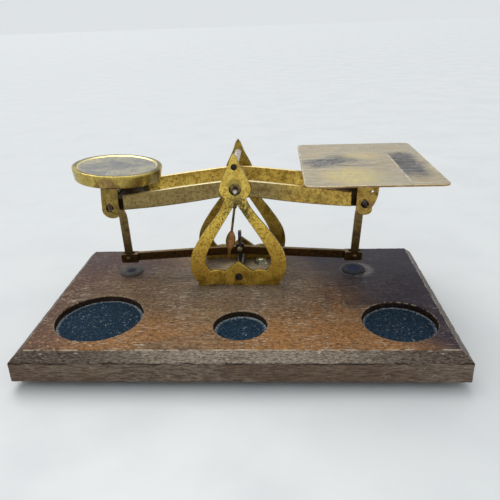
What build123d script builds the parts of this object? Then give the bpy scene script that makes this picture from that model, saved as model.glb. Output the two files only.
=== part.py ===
from build123d import *
import os
from math import sqrt

# Equal-arm letter balance on a wooden plinth (millimetres, +Z up, +X to the
# goods plate, +Y to the rear). The origin is the centre of the plinth on the
# surface that it stands on.

# ---- driving dimensions: plinth ----
BASE_FELT = 3.0
BASE_FELT_INSET = 8.0
BOARD_WIDTH = 200.0
BOARD_DEPTH = 114.4
BOARD_THICKNESS = 14.4
CHAMFER_RUN = 5.0
CHAMFER_DROP = 4.5
BOARD_EDGE_ROUND = 1.0
TOP = BASE_FELT + BOARD_THICKNESS      # height of the plinth's top surface
WELL_DEPTH = 5.0
WELL_FELT = 1.8
WELLS = {
    "left_well_felt": (-68.1, -25.5, 21.0),
    "centre_well_felt": (0.8, -33.1, 12.6),
    "right_well_felt": (74.4, -30.0, 17.2),
}
BUFFER_RADIUS = 6.6
BUFFER_HEIGHT = 1.2
BUFFER_DISH = 0.45
EDGE_EASE = 0.3                          # rounding of the edges of the flat brass parts
BAR_EASE = 0.35

# ---- driving dimensions: stand ----
STAND_X = -2.15
PLATE_THICKNESS = 1.9
FRONT_PLATE_Y = 5.9
REAR_PLATE_Y = 39.2
MID_Y = (FRONT_PLATE_Y + REAR_PLATE_Y + PLATE_THICKNESS) / 2
PLATE_HEIGHT = 71.0
TOP_RIVET_Z = TOP + 64.4
TOP_RIVET_R = 1.55
TOP_PILLAR_R = 1.75
BOTTOM_RIVET_Z = TOP + 5.1
BOTTOM_RIVET_R = 2.1
BOTTOM_PILLAR_R = 2.45
RIVET_PROUD = 0.2
HUB_HOLE_R = 3.1
HUB_HOLE_Z = TOP + 53.2
NOTCH_Z = TOP + 49.7
SOLE_RELIEF_X = 16.4
SOLE_RELIEF_LENGTH = 10.0
SOLE_RELIEF_HEIGHT = 0.6
STAND_SCREW_Y = (13.5, 33.5)
STAND_SCREW_R = 1.3
STAND_SCREW_HEAD_R = 3.0
STAND_SCREW_HEAD_H = 2.2
WASHER_X = 8.8
WASHER_Y = 34.4
WASHER_FOOT_R = 4.0
WASHER_TOP_R = 2.9
WASHER_HEIGHT = 1.8
SCREW_R = 1.3
SCREW_LENGTH = 9.0
SCREW_HEAD_R = 2.1
SCREW_HEAD_FOOT = 0.6
SCREW_HEAD_TOP = 2.0
SCREW_SLOT_TURN = 20

# ---- driving dimensions: beam ----
KNIFE_GAP = 0.05
HUB_Z = NOTCH_Z + KNIFE_GAP              # edge of the centre knife, the beam's axis
ARM = 63.8
END_DROP = 2.45
END_Z = HUB_Z - END_DROP                 # edges of the two end knives
BAR_THICKNESS = 2.2
FRONT_BAR_Y = 8.5
REAR_BAR_Y = 2 * MID_Y - FRONT_BAR_Y - BAR_THICKNESS
BAR_HALF = 57.6
BAR_RIVET_IN = 3.2
BAR_RIVET_Z = TOP + 46.2
BAR_RIVET_R = 0.9
SPACER_R = 4.1
BLOCK_INNER = 50.5
BLOCK_OUTER = 66.6

# ---- driving dimensions: carriers ----
STRAP_THICKNESS = 1.6
CROWN_THICKNESS = 1.5
FRONT_STRAP_Y = 6.0
REAR_STRAP_Y = 2 * MID_Y - FRONT_STRAP_Y - STRAP_THICKNESS
EYE_R = 2.05
EYE_Z = END_Z - 3.0
EYE_TOP = END_Z + 0.08
PAN_X = STAND_X - 62.45
PAN_TOP = TOP + 62.4
PAN_TILT = 4.3                           # degrees, inner side low, bent with use
PAN_RADIUS = 23.1
PAN_FOOT_RADIUS = 22.0
PAN_HEIGHT = 6.5
PAN_RECESS_R = 19.7
PAN_RECESS = 0.6
PAN_HOLLOW_R = 19.4
PAN_RIM_ROUND = 1.0
PAN_HOLLOW = 4.37
GOODS_X = STAND_X + 64.9
GOODS_WIDTH = 64.0
GOODS_DEPTH = 83.6
GOODS_THICKNESS = 0.8
GOODS_CORNER = 4.0
GOODS_TOP = TOP + 61.3
BRIDGE_Z = TOP + 40.9
BRIDGE_HEIGHT = 2.2
BRIDGE_WIDTH = 2.8
BRIDGE_OUT = {-1: 1.6, 1: 0.65}          # the cross-bars lie outside the end knives
BRIDGE_SPIGOT_R = 0.7
STEM_BEND = {-1: 2.25, 1: 0.45}          # sideways set of each stem's upper end
STEM_WIDTH = 4.3
STRAP_HOLE_R = 0.75
STEM_THICKNESS = 1.8

# ---- driving dimensions: lower stay ----
STAY_Z = TOP + 14.6
STAY_DROP = 5.3
PIN_Z = STAY_Z - STAY_DROP               # pins of the two forks
STAY_THICKNESS = 2.4
STAY_HALF = 57.1
PIN_ARM = 62.7                           # centre pin to fork pin
STAY_PIN_R = 0.5
FORK_PIN_R = 0.9
FORK_CLEAR = 0.4
FORK_CHEEK = 1.25
FORK_SLOT = 2.4
FORK_OUTER = 66.7
FORK_HEIGHT = 5.0
POST_WIDTH = 1.6
POST_WIRE = 1.0
POST_CROSS_R = 0.35
POST_CROSS_UP = 2.7
POST_GAP = 3.4
POST_SUNK = 2.2
POST_TOP = TOP + 24.5

# ---- driving dimensions: pointer ----
POINTER_Y = 16.0
POINTER_LEAN = 8.9                       # degrees off upright, bent with use
POINTER_ROD_R = 0.65
POINTER_BULB_Z = HUB_Z - 8.6
POINTER_BULB_R = 1.3
LEAF_TOP = HUB_Z - 22.5
LEAF_WIDE = HUB_Z - 28.2
LEAF_WAIST = HUB_Z - 33.4
LEAF_TIP = HUB_Z - 40.0
LEAF_WIDTH = 5.2
LEAF_THICKNESS = 0.7


def save(name, shape):
    """Write one node, moving nothing."""
    solids = shape.solids()
    shape = solids[0] if len(solids) == 1 else Compound(children=list(solids))
    export_step(shape, f"parts/{name}.step")


def rod_y(x, z, radius, y0, y1):
    """A round rod along Y from y0 to y1."""
    return Pos(x, (y0 + y1) / 2, z) * Rot(90, 0, 0) * Cylinder(radius, y1 - y0)


def rod_z(x, y, radius, z0, z1):
    """A round rod along Z from z0 to z1."""
    return Pos(x, y, (z0 + z1) / 2) * Cylinder(radius, z1 - z0)


def block(x0, x1, y0, y1, z0, z1):
    """A box between two corners."""
    return Pos((x0 + x1) / 2, (y0 + y1) / 2, (z0 + z1) / 2) * Box(x1 - x0, y1 - y0, z1 - z0)


def slab(edges, y0, thickness):
    """A closed outline drawn in X and Z, given thickness along +Y from y0."""
    face = make_face(Wire(edges))
    return Pos(0, y0, 0) * extrude(face, amount=thickness, dir=(0, 1, 0))


def path(*points):
    """Straight edges through points given as (x, z)."""
    corners = [Vector(x, 0, z) for x, z in points]
    return [Edge.make_line(a, b) for a, b in zip(corners, corners[1:])]


def curve(points, start=None, end=None):
    """One smooth edge through points given as (x, z), with optional end slopes."""
    knots = [Vector(x, 0, z) for x, z in points]
    if start is None:
        return Edge.make_spline(knots)
    slopes = [Vector(start[0], 0, start[1]), Vector(end[0], 0, end[1])]
    return Edge.make_spline(knots, tangents=slopes)


def eased(part, radius=EDGE_EASE):
    """Round the edges that lie in the front and rear faces of a flat part."""
    flat = part.edges().filter_by(lambda edge: edge.bounding_box().size.Y < 1e-4)
    return fillet(flat, radius)


def eased_slab(edges, y0, thickness, radius=EDGE_EASE):
    """A slab with its long edges rounded."""
    return Pos(0, y0, 0) * eased(slab(edges, 0, thickness), radius)


def drop_outline(x, round_z, radius, edge_z):
    """Outline of a round bar with one sharp edge, above or below it, on its centre line."""
    reach = abs(edge_z - round_z)
    side = 1 if edge_z > round_z else -1
    height = side * radius * radius / reach
    half = sqrt(radius * radius - height * height)
    far = Vector(x, 0, round_z - side * radius)
    right = Vector(x + half, 0, round_z + height)
    left = Vector(x - half, 0, round_z + height)
    tip = Vector(x, 0, edge_z)
    return [
        Edge.make_three_point_arc(left, far, right),
        Edge.make_line(right, tip),
        Edge.make_line(tip, left),
    ]


# ---- plinth ----

def base_board():
    """Chamfered board with three round weight wells and its screw holes."""
    board = Pos(0, 0, BASE_FELT + BOARD_THICKNESS / 2) * Box(BOARD_WIDTH, BOARD_DEPTH, BOARD_THICKNESS)
    board = chamfer(board.faces().sort_by(Axis.Z)[-1].edges(), CHAMFER_DROP, CHAMFER_RUN)
    board = fillet(board.faces().sort_by(Axis.Z)[0].edges(), BOARD_EDGE_ROUND)
    for x, y, radius in WELLS.values():
        board -= rod_z(x, y, radius, TOP - WELL_DEPTH, TOP + 1)
    board -= washer_screw_body()
    board -= stand_screws()
    for y in STAND_SCREW_Y:
        board -= rod_z(STAND_X, y, STAND_SCREW_HEAD_R + 0.3, BASE_FELT - 1, BASE_FELT + STAND_SCREW_HEAD_H)
    return board


def well_felt(x, y, radius):
    """Felt disc lying in the bottom of a weight well."""
    z0 = TOP - WELL_DEPTH
    return rod_z(x, y, radius, z0, z0 + WELL_FELT)


def buffer_pad(side):
    """Dished felt pad that a fork comes down on."""
    x = STAND_X + side * PIN_ARM
    pad = rod_z(x, MID_Y, BUFFER_RADIUS, TOP, TOP + BUFFER_HEIGHT)
    pad = fillet(pad.edges().group_by(Axis.Z)[-1], 0.4)
    inner = BUFFER_RADIUS * 0.55
    ball = (inner * inner + BUFFER_DISH * BUFFER_DISH) / (2 * BUFFER_DISH)
    return pad - Pos(x, MID_Y, TOP + BUFFER_HEIGHT - BUFFER_DISH + ball) * Sphere(ball)


def base_felt():
    """Baize pad glued under the board, set in from its edges."""
    half_x = BOARD_WIDTH / 2 - BASE_FELT_INSET
    half_y = BOARD_DEPTH / 2 - BASE_FELT_INSET
    pad = block(-half_x, half_x, -half_y, half_y, 0, BASE_FELT)
    return fillet(pad.edges().filter_by(Axis.Z), 3.0)


# ---- stand ----

def half_outline(side):
    """One half of the stand plate's outer edge, from its tip down to the foot."""
    def at(x, z):
        return (STAND_X + side * x, TOP + z)

    tip = curve([at(0, PLATE_HEIGHT), at(0.9, 69.9), at(2.4, 66.3), at(4.8, 61.1), at(7.0, 56.6), at(8.0, 53.4)])
    lobe = curve([at(8.0, 53.4), at(7.3, 50.7), at(5.3, 48.4)])
    leg = curve([at(5.3, 48.4), at(7.9, 42.8), at(14.0, 34.6), at(20.2, 25.8), at(24.3, 17.9), at(25.2, 11.0),
                 at(23.6, 4.6), at(21.5, 1.9)])
    foot = path(at(21.5, 1.9), at(21.7, 0))
    return [tip, lobe, leg] + foot


def inner_outline():
    """Edge of the opening between the legs: apex, legs, low arches and a centre peak."""
    def right(x, z):
        return (STAND_X + x, TOP + z)

    def left(x, z):
        return (STAND_X - x, TOP + z)

    edges = []
    for at in (right, left):
        edges.append(curve([at(0, 46.4), at(5.7, 36.9), at(11.2, 28.0), at(15.6, 19.6), at(17.1, 13.8),
                            at(14.6, 8.4)]))
        edges.append(curve([at(14.6, 8.4), at(10.9, 9.1), at(7.3, 8.1)]))
        edges += path(at(7.3, 8.1), at(0, 13.9))
    return edges


def stand_plate(y0):
    """Lyre-shaped brass plate with two legs, rivet holes and the notched hub hole."""
    left = half_outline(-1)
    right = half_outline(1)
    sole = path((STAND_X - 21.7, TOP), (STAND_X + 21.7, TOP))
    plate = slab(left + right + sole, 0, PLATE_THICKNESS) - slab(inner_outline(), -1, PLATE_THICKNESS + 2)
    plate = Pos(0, y0, 0) * eased(plate)
    plate -= rod_y(STAND_X, TOP_RIVET_Z, TOP_RIVET_R, y0 - 1, y0 + PLATE_THICKNESS + 1)
    plate -= rod_y(STAND_X, BOTTOM_RIVET_Z, BOTTOM_RIVET_R, y0 - 1, y0 + PLATE_THICKNESS + 1)
    plate -= rod_y(STAND_X, HUB_HOLE_Z, HUB_HOLE_R, y0 - 1, y0 + PLATE_THICKNESS + 1)
    notch = path((STAND_X - 1.5, HUB_HOLE_Z - 2.2), (STAND_X, NOTCH_Z), (STAND_X + 1.5, HUB_HOLE_Z - 2.2),
                 (STAND_X - 1.5, HUB_HOLE_Z - 2.2))
    plate -= slab(notch, y0 - 1, PLATE_THICKNESS + 2)
    x0 = STAND_X - SOLE_RELIEF_X
    return plate - block(x0, x0 + SOLE_RELIEF_LENGTH, y0 - 1, y0 + 3, TOP - 1, TOP + SOLE_RELIEF_HEIGHT)


def pillar(z, radius, rivet_radius):
    """Rod that spaces the two plates, its reduced ends riveted through them."""
    inner_front = FRONT_PLATE_Y + PLATE_THICKNESS
    body = rod_y(STAND_X, z, radius, inner_front, REAR_PLATE_Y)
    ends = rod_y(STAND_X, z, rivet_radius, FRONT_PLATE_Y - RIVET_PROUD,
                 REAR_PLATE_Y + PLATE_THICKNESS + RIVET_PROUD)
    return body + ends


def bottom_pillar():
    """Lower spacer, drilled for the post's legs and for the two screws from below."""
    return pillar(BOTTOM_RIVET_Z, BOTTOM_PILLAR_R, BOTTOM_RIVET_R) - stay_post() - stand_screws()


def stand_screws():
    """Two screws up through the board into the lower spacer."""
    screws = []
    for y in STAND_SCREW_Y:
        shank = rod_z(STAND_X, y, STAND_SCREW_R, BASE_FELT + 0.2, BOTTOM_RIVET_Z)
        head = rod_z(STAND_X, y, STAND_SCREW_HEAD_R, BASE_FELT + 0.2, BASE_FELT + STAND_SCREW_HEAD_H)
        slot = block(STAND_X - 4, STAND_X + 4, y - 0.4, y + 0.4, BASE_FELT - 1, BASE_FELT + 0.9)
        screws.append((shank + head - slot).solid())
    return Compound(children=screws)


def washer_screw_body():
    """Shank of the wood screw under the cup washer."""
    return rod_z(WASHER_X, WASHER_Y, SCREW_R, TOP - SCREW_LENGTH, TOP + SCREW_HEAD_FOOT)


def screw_cone():
    """Countersunk part of the wood screw's head."""
    height = SCREW_HEAD_TOP - SCREW_HEAD_FOOT
    return Pos(WASHER_X, WASHER_Y, TOP + SCREW_HEAD_FOOT + height / 2) * Cone(SCREW_R, SCREW_HEAD_R, height)


def washer_screw():
    """Slotted raised-head wood screw seated in the cup washer."""
    rim = TOP + SCREW_HEAD_TOP
    dome = Pos(WASHER_X, WASHER_Y, rim) * scale(Sphere(SCREW_HEAD_R), by=(1, 1, 0.3))
    dome &= block(WASHER_X - 3, WASHER_X + 3, WASHER_Y - 3, WASHER_Y + 3, rim, rim + 2)
    slot = Pos(WASHER_X, WASHER_Y, rim + 0.5) * Rot(0, 0, SCREW_SLOT_TURN) * Box(6, 0.6, 1.0)
    return washer_screw_body() + screw_cone() + dome - slot


def cup_washer():
    """Turned cup washer: a low cone with a countersunk bore."""
    outside = Pos(WASHER_X, WASHER_Y, TOP + WASHER_HEIGHT / 2) * Cone(WASHER_FOOT_R, WASHER_TOP_R, WASHER_HEIGHT)
    return outside - screw_cone() - washer_screw_body()


def stay_post():
    """Hairpin post: two legs either side of the stay, joined by a round bend on top."""
    half_gap = POST_GAP / 2
    outer = half_gap + POST_WIRE
    bend_z = POST_TOP - outer
    foot_z = BOTTOM_RIVET_Z + BOTTOM_PILLAR_R - POST_SUNK
    bend = Pos(STAND_X, MID_Y, bend_z) * Rot(0, 90, 0) * (Cylinder(outer, POST_WIDTH) - Cylinder(half_gap, POST_WIDTH))
    bend &= block(STAND_X - 3, STAND_X + 3, MID_Y - 5, MID_Y + 5, bend_z, POST_TOP + 1)
    x0 = STAND_X - POST_WIDTH / 2
    x1 = STAND_X + POST_WIDTH / 2
    front = block(x0, x1, MID_Y - outer, MID_Y - half_gap, foot_z, bend_z)
    rear = block(x0, x1, MID_Y + half_gap, MID_Y + outer, foot_z, bend_z)
    cross_z = STAY_Z + POST_CROSS_UP
    cross = Pos(STAND_X + 0.6, MID_Y - half_gap - POST_WIRE / 2, cross_z) * Rot(0, 90, 0) * Cylinder(POST_CROSS_R, 4.6)
    post = bend + front + rear + cross
    return post - rod_y(STAND_X, STAY_Z, STAY_PIN_R, MID_Y - 5, MID_Y + 5)


def stay_pin():
    """Round-headed pin through the post, on which the stay turns."""
    front = MID_Y - POST_GAP / 2 - POST_WIRE
    back = MID_Y + POST_GAP / 2 + POST_WIRE
    pin = rod_y(STAND_X, STAY_Z, STAY_PIN_R, front - 0.4, back + 0.5)
    head = Pos(STAND_X, front, STAY_Z) * Sphere(1.5)
    head &= block(STAND_X - 2, STAND_X + 2, front - 3, front, STAY_Z - 2, STAY_Z + 2)
    return pin + head


# ---- beam ----

def beam_bar(y0):
    """Shallow chevron bar, deepest over the hub, with the centre knife's hole."""
    def at(x, z):
        return (STAND_X + x, TOP + z)

    top_right = curve([at(0, 57.2), at(33.5, 53.3), at(BAR_HALF, 49.8)])
    top_left = curve([at(0, 57.2), at(-33.5, 53.3), at(-BAR_HALF, 49.8)])
    low_right = curve([at(8, 48.4), at(35, 44.5), at(BAR_HALF, 42.5)])
    low_left = curve([at(-8, 48.4), at(-35, 44.5), at(-BAR_HALF, 42.5)])
    belly = Edge.make_three_point_arc(*[Vector(x, 0, z) for x, z in (at(-8, 48.4), at(0, 47.4), at(8, 48.4))])
    ends = path(at(BAR_HALF, 49.8), at(BAR_HALF, 42.5)) + path(at(-BAR_HALF, 49.8), at(-BAR_HALF, 42.5))
    outline = [top_left, top_right, low_left, low_right, belly] + ends
    bar = eased_slab(outline, y0, BAR_THICKNESS, BAR_EASE)
    for side in (-1, 1):
        x = STAND_X + side * (BAR_HALF - BAR_RIVET_IN)
        bar -= rod_y(x, BAR_RIVET_Z, BAR_RIVET_R, y0 - 1, y0 + BAR_THICKNESS + 1)
    return bar - centre_knife()


def centre_knife():
    """Hardened edge on which the whole beam rocks, in the notches of the plates."""
    outline = drop_outline(STAND_X, HUB_Z + 2.7, 1.35, HUB_Z)
    return slab(outline, FRONT_PLATE_Y + 0.4, REAR_PLATE_Y - FRONT_PLATE_Y + PLATE_THICKNESS - 0.8)


def hub_spacer():
    """Tube that holds the two bars apart round the centre knife."""
    tube = rod_y(STAND_X, HUB_Z + 2.9, SPACER_R, FRONT_BAR_Y + BAR_THICKNESS, REAR_BAR_Y)
    return tube - centre_knife()


def end_knife(side):
    """Edge at the end of the beam, facing up, that carries one pan frame."""
    outline = drop_outline(STAND_X + side * ARM, END_Z - 2.4, 1.3, END_Z)
    return slab(outline, FRONT_STRAP_Y + 0.2, REAR_STRAP_Y - FRONT_STRAP_Y + STRAP_THICKNESS - 0.4)


def end_block(side):
    """Cross-piece that joins the bars at one end and holds the end knife."""
    x = STAND_X
    front = FRONT_BAR_Y + BAR_THICKNESS
    inside = block(x + BLOCK_INNER, x + BAR_HALF, front, REAR_BAR_Y, TOP + 43.0, TOP + 49.2)
    back = REAR_BAR_Y + BAR_THICKNESS
    outside = block(x + BAR_HALF, x + BLOCK_OUTER, FRONT_BAR_Y, back, TOP + 42.8, TOP + 48.6)
    lowered = block(x + 61.2, x + BLOCK_OUTER + 1, FRONT_BAR_Y - 1, back + 1, END_Z - 0.9, TOP + 50)
    piece = inside + outside - lowered
    if side < 0:
        piece = Pos(2 * x, 0, 0) * mirror(piece, about=Plane.YZ)
    return piece - end_knife(side) - beam_rivets()


def beam_rivets():
    """Rivets through the bars into the end cross-pieces."""
    rivets = []
    for side in (-1, 1):
        x = STAND_X + side * (BAR_HALF - BAR_RIVET_IN)
        for y0, y1 in ((FRONT_BAR_Y - 0.03, FRONT_BAR_Y + 5.0), (REAR_BAR_Y - 2.8, REAR_BAR_Y + BAR_THICKNESS + 0.03)):
            rivets.append(rod_y(x, BAR_RIVET_Z, BAR_RIVET_R, y0, y1).solid())
    return Compound(children=rivets)


def lean(shape):
    """Tip a pointer piece about the beam's axis by its bend."""
    return shape.rotate(Axis((STAND_X, 0, HUB_Z), (0, 1, 0)), POINTER_LEAN)


def pointer_rod():
    """Pointer wire: a ring round the hub spacer, a stem with a bulb, down to the leaf."""
    z = HUB_Z + 2.9
    ring = rod_y(STAND_X, z, SPACER_R + 0.9, POINTER_Y - 1, POINTER_Y + 1)
    stem = rod_z(STAND_X, POINTER_Y, POINTER_ROD_R, LEAF_TOP, z - SPACER_R - 0.2)
    bulb = Pos(STAND_X, POINTER_Y, POINTER_BULB_Z) * scale(Sphere(POINTER_BULB_R), by=(1, 1, 1.25))
    return ring + lean(stem + bulb) - rod_y(STAND_X, z, SPACER_R, POINTER_Y - 2, POINTER_Y + 2)


def pointer_leaf():
    """Flat copper leaf at the end of the pointer: round shoulders, then a long taper."""
    edges = []
    for sign in (-1, 1):
        neck, widest, waist, tip = [STAND_X + sign * half for half in (0.5, LEAF_WIDTH / 2, 1.0, 0.3)]
        edges.append(curve([(neck, LEAF_TOP), (widest, LEAF_WIDE), (waist, LEAF_WAIST)]))
        edges += path((waist, LEAF_WAIST), (tip, LEAF_TIP))
    edges += path((STAND_X - 0.5, LEAF_TOP), (STAND_X + 0.5, LEAF_TOP))
    edges += path((STAND_X - 0.3, LEAF_TIP), (STAND_X + 0.3, LEAF_TIP))
    return lean(slab(edges, POINTER_Y - LEAF_THICKNESS / 2, LEAF_THICKNESS))


# ---- carriers ----

def strap_outline(side, top_z):
    """Outline of a hanging strap: wider outside on the goods side, straight on the other."""
    x = STAND_X + side * ARM
    if side < 0:
        outer = curve([(x - 2.4, top_z), (x - 3.9, EYE_Z + 4), (x - 4.1, EYE_Z)])
        low = curve([(x - 4.1, EYE_Z), (x - 2.8, EYE_Z - 3.9), (x + 0.3, EYE_Z - 5.3), (x + 4.5, EYE_Z - 3.9)])
        inner = path((x + 4.5, EYE_Z - 3.9), (x + 5.3, top_z))
        return [outer, low] + inner + path((x + 5.3, top_z), (x - 2.4, top_z))
    outer = curve([(x + 5.7, top_z), (x + 6.4, EYE_Z + 6.0), (x + 5.3, EYE_Z + 1.4), (x + 3.6, EYE_Z - 1.7)])
    low = curve([(x + 3.6, EYE_Z - 1.7), (x + 3.2, EYE_Z - 4.3), (x - 0.2, EYE_Z - 5.5), (x - 4.2, EYE_Z - 3.2)])
    inner = path((x - 4.2, EYE_Z - 3.2), (x - 3.8, top_z))
    return [outer, low] + inner + path((x - 3.8, top_z), (x + 5.7, top_z))


def eye_cutter(side):
    """Round eye with an upward notch, through both straps."""
    outline = drop_outline(STAND_X + side * ARM, EYE_Z, EYE_R, EYE_TOP)
    return slab(outline, FRONT_STRAP_Y - 1, REAR_STRAP_Y - FRONT_STRAP_Y + STRAP_THICKNESS + 2)


def tipped(part, side):
    """Tip a part with the weight pan; the goods plate is level."""
    if side > 0:
        return part
    return part.rotate(Axis((PAN_X, 0, PAN_TOP - PAN_HEIGHT / 2), (0, 1, 0)), PAN_TILT)


def bracket(side, top_z, crown_x0, crown_x1):
    """Bent frame under a pan: two straps joined by a flat crown."""
    x = STAND_X + side * ARM
    front = eased_slab(strap_outline(side, top_z + 1), FRONT_STRAP_Y, STRAP_THICKNESS)
    rear = eased_slab(strap_outline(side, top_z + 1), REAR_STRAP_Y, STRAP_THICKNESS)
    y1 = REAR_STRAP_Y + STRAP_THICKNESS
    crown = tipped(block(x + crown_x0, x + crown_x1, FRONT_STRAP_Y, y1, top_z - CROWN_THICKNESS, top_z), side)
    above = tipped(block(x - 30, x + 30, FRONT_STRAP_Y - 5, y1 + 5, top_z, top_z + 5), side)
    frame = front + rear + crown - above - eye_cutter(side)
    if side > 0:
        frame -= rod_y(x + 3.6, EYE_Z + 6.4, STRAP_HOLE_R, FRONT_STRAP_Y - 1, FRONT_STRAP_Y + STRAP_THICKNESS + 1)
    return frame - bridge_ends(side) - pan_rivets(side)


def bridge_ends(side):
    """Spigots of the lower cross-bar, riveted in the straps."""
    x = STAND_X + side * (ARM + BRIDGE_OUT[side])
    return rod_y(x, BRIDGE_Z, BRIDGE_SPIGOT_R, FRONT_STRAP_Y, REAR_STRAP_Y + STRAP_THICKNESS)


def bridge(side):
    """Cross-bar between the strap feet, from which the stem hangs."""
    x = STAND_X + side * (ARM + BRIDGE_OUT[side])
    half = BRIDGE_WIDTH / 2
    bar = block(x - half, x + half, FRONT_STRAP_Y + STRAP_THICKNESS, REAR_STRAP_Y,
                BRIDGE_Z - BRIDGE_HEIGHT / 2, BRIDGE_Z + BRIDGE_HEIGHT / 2)
    return bar + bridge_ends(side) - stem(side)


def stem(side):
    """Flat stem from the cross-bar down into the fork, with its pin's eye."""
    x = STAND_X + side * PIN_ARM
    top_x = STAND_X + side * (ARM + BRIDGE_OUT[side])
    bend_x = top_x - side * STEM_BEND[side]
    half = STEM_WIDTH / 2
    neck = half - 0.75
    top = BRIDGE_Z - 0.2
    bend = TOP + 31.5
    foot = PIN_Z + 1.0
    edges = []
    for sign in (-1, 1):
        edges += path((x + sign * half, foot), (bend_x + sign * half, bend))
        edges.append(curve([(bend_x + sign * half, bend), (top_x + sign * neck, top)],
                           (bend_x - x, bend - foot), (top_x - bend_x, 4.0)))
    edges += path((x - half, foot), (x + half, foot)) + path((top_x - neck, top), (top_x + neck, top))
    y0 = MID_Y - STEM_THICKNESS / 2
    bar = eased_slab(edges, y0, STEM_THICKNESS)
    eye = rod_y(x, PIN_Z, 2.35, y0, y0 + STEM_THICKNESS)
    return bar + eye - rod_y(x, PIN_Z, FORK_PIN_R + FORK_CLEAR, y0 - 1, y0 + STEM_THICKNESS + 1)


def pan_rivets(side):
    """Two rivets that hold a pan to its frame."""
    x = STAND_X + side * ARM + (0.5 if side < 0 else 1.5)
    top = PAN_TOP - PAN_RECESS if side < 0 else GOODS_TOP
    under = PAN_TOP - PAN_HEIGHT + PAN_HOLLOW if side < 0 else GOODS_TOP - GOODS_THICKNESS
    rivets = []
    for y in (MID_Y - 9, MID_Y + 9):
        shank = rod_z(x, y, 1.0, under - 1.5, top - 0.02)
        head = rod_z(x, y, 1.7, under - 2.1, under - 1.5)
        rivets.append(tipped(shank + head, side).solid())
    return Compound(children=rivets)


def weight_pan():
    """Round pan: shallow recess on top, tapered wall and a hollow underside."""
    z0 = PAN_TOP - PAN_HEIGHT
    body = Pos(PAN_X, MID_Y, PAN_TOP - PAN_HEIGHT / 2) * Cone(PAN_FOOT_RADIUS, PAN_RADIUS, PAN_HEIGHT)
    body = fillet(body.edges().group_by(Axis.Z)[-1], PAN_RIM_ROUND)
    body = fillet(body.edges().group_by(Axis.Z)[0], EDGE_EASE)
    body -= rod_z(PAN_X, MID_Y, PAN_RECESS_R, PAN_TOP - PAN_RECESS, PAN_TOP + 1)
    body -= rod_z(PAN_X, MID_Y, PAN_HOLLOW_R, z0 - 1, z0 + PAN_HOLLOW)
    return tipped(body, -1) - pan_rivets(-1)


def goods_plate():
    """Thin flat plate with rounded corners for the letter or parcel."""
    plate = Pos(GOODS_X, MID_Y, GOODS_TOP - GOODS_THICKNESS / 2) * Box(GOODS_WIDTH, GOODS_DEPTH, GOODS_THICKNESS)
    plate = fillet(plate.edges().filter_by(Axis.Z), GOODS_CORNER)
    plate = fillet(plate.faces().sort_by(Axis.Z)[-1].edges(), EDGE_EASE)
    return plate - pan_rivets(1)


# ---- lower stay ----

def stay_strip():
    """Flat strip on edge that keeps the stems upright, with a raised centre boss."""
    def at(x, z):
        return (STAND_X + x, TOP + z)

    y0 = MID_Y - STAY_THICKNESS / 2
    outline = path(at(-STAY_HALF, 12.2), at(0, 15.6), at(STAY_HALF, 12.2), at(STAY_HALF, 7.6), at(0, 11.0),
                   at(-STAY_HALF, 7.6), at(-STAY_HALF, 12.2))
    strip = eased_slab(outline, y0, STAY_THICKNESS)
    boss = rod_y(STAND_X, STAY_Z, 2.6, y0, y0 + STAY_THICKNESS)
    return strip + boss - rod_y(STAND_X, STAY_Z, STAY_PIN_R + 0.1, y0 - 1, y0 + STAY_THICKNESS + 1)


def fork(side):
    """Slotted block on the end of the stay, round-ended, bored for its pin."""
    half = FORK_SLOT / 2 + FORK_CHEEK
    body = block(STAND_X + STAY_HALF, STAND_X + FORK_OUTER, MID_Y - half, MID_Y + half,
                 PIN_Z - FORK_HEIGHT / 2, PIN_Z + FORK_HEIGHT / 2)
    body = fillet(body.edges().filter_by(Axis.Y), 1.1)
    body -= block(STAND_X + STAY_HALF + 2.4, STAND_X + FORK_OUTER + 1, MID_Y - FORK_SLOT / 2, MID_Y + FORK_SLOT / 2,
                  TOP, TOP + 20)
    if side < 0:
        body = Pos(2 * STAND_X, 0, 0) * mirror(body, about=Plane.YZ)
    return body - rod_y(STAND_X + side * PIN_ARM, PIN_Z, FORK_PIN_R, MID_Y - 9, MID_Y + 9)


def fork_pin(side):
    """Pin across the fork, with a low round head in front."""
    half = FORK_SLOT / 2 + FORK_CHEEK
    x = STAND_X + side * PIN_ARM
    pin = rod_y(x, PIN_Z, FORK_PIN_R, MID_Y - half, MID_Y + half + 0.3)
    head = Pos(x, MID_Y - half, PIN_Z) * scale(Sphere(1.35), by=(1, 0.6, 1))
    head &= block(x - 2, x + 2, MID_Y - half - 2, MID_Y - half, PIN_Z - 2, PIN_Z + 2)
    return pin + head


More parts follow.
